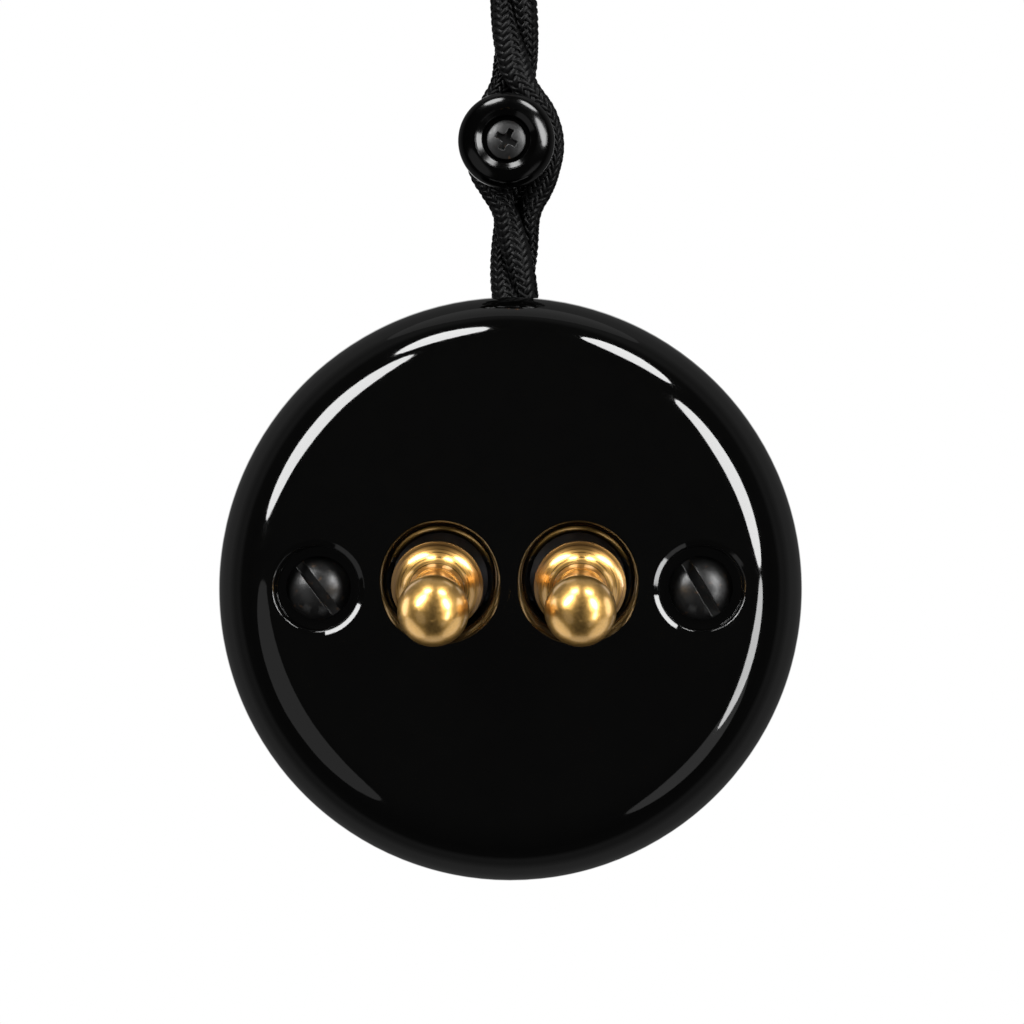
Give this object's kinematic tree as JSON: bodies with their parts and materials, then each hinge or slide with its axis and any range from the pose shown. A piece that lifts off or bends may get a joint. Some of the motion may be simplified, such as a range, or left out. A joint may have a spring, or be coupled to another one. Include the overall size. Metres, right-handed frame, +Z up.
{
  "type": "roller shutter switch",
  "caption": "Round surface-mounted roller shutter switch in black glazed porcelain with brass ball levers, dome-head cover screws, a twisted braided cable and a wall insulator.",
  "frame": {"origin": "centre of the base's back face, on the wall", "axes": "+Z up, +Y into the wall, so the switch faces -Y, +X to the right as seen from the front"},
  "size_m": [0.1, 0.0857, 0.164],
  "materials": {
    "porcelain": "gloss",
    "turned_brass": "satin",
    "brass": "satin",
    "black_steel": "satin",
    "plated_steel": "satin",
    "phenolic": "satin",
    "silver": "satin",
    "copper": "satin",
    "braid": "matte"
  },
  "bodies": {
    "housing": {"base": "porcelain", "cover": "porcelain", "insulator": "porcelain", "mounting_plate": "plated_steel", "contact_block": "phenolic", "common_bar": "brass", "insulator_screw": "black_steel", "clamp_screw_feed": "brass", "core_left": "braid", "core_front": "braid", "core_back": "braid", "inner_ends": "copper", "outer_ends": "copper", "pillar_insert_upper": "brass", "plate_screw_upper": "plated_steel", "pillar_insert_lower": "brass", "plate_screw_lower": "plated_steel", "cover_screw_left": "black_steel", "post_insert_left": "brass", "pivot_pin_left": "plated_steel", "fixed_contact_left": "silver", "out_terminal_left": "brass", "clamp_screw_left": "brass", "block_screw_left": "plated_steel", "cover_screw_right": "black_steel", "post_insert_right": "brass", "pivot_pin_right": "plated_steel", "fixed_contact_right": "silver", "out_terminal_right": "brass", "clamp_screw_right": "brass", "block_screw_right": "plated_steel"},
    "lever_left": {"lever_left": "turned_brass", "plunger_spring_left": "plated_steel"},
    "plunger_left": {"plunger_left": "plated_steel"},
    "rocker_left": {"rocker_left": "brass", "moving_contact_left": "silver"},
    "lever_right": {"lever_right": "turned_brass", "plunger_spring_right": "plated_steel"},
    "plunger_right": {"plunger_right": "plated_steel"},
    "rocker_right": {"rocker_right": "brass", "moving_contact_right": "silver"}
  },
  "joints": [
    {"name": "lever_left_swing", "type": "hinge", "parent": "housing", "child": "lever_left", "pos_m": [-0.0118, -0.0375, 0.0013], "axis": [-1, 0, 0], "range_deg": [0, 30]},
    {"name": "rocker_left_tilt", "type": "hinge", "parent": "housing", "child": "rocker_left", "pos_m": [-0.0118, -0.01725, 0.0013], "axis": [1, 0, 0], "range_deg": [0, 10]},
    {"name": "plunger_left_slide", "type": "slide", "parent": "lever_left", "child": "plunger_left", "axis": [0, -0.9659, -0.2588], "range_m": [0, 0.0008], "stiffness_N_per_m": 200, "springref_m": -0.005, "deforming": ["plunger_spring_left"]},
    {"name": "lever_right_swing", "type": "hinge", "parent": "housing", "child": "lever_right", "pos_m": [0.0118, -0.0375, 0.0013], "axis": [-1, 0, 0], "range_deg": [0, 30]},
    {"name": "rocker_right_tilt", "type": "hinge", "parent": "housing", "child": "rocker_right", "pos_m": [0.0118, -0.01725, 0.0013], "axis": [1, 0, 0], "range_deg": [0, 10]},
    {"name": "plunger_right_slide", "type": "slide", "parent": "lever_right", "child": "plunger_right", "axis": [0, -0.9659, -0.2588], "range_m": [0, 0.0008], "stiffness_N_per_m": 200, "springref_m": -0.005, "deforming": ["plunger_spring_right"]}
  ],
  "couplings": [
    {"joint": "rocker_left_tilt", "follows": "lever_left_swing", "ratio": 0.33333},
    {"joint": "rocker_right_tilt", "follows": "lever_right_swing", "ratio": 0.33333}
  ]
}
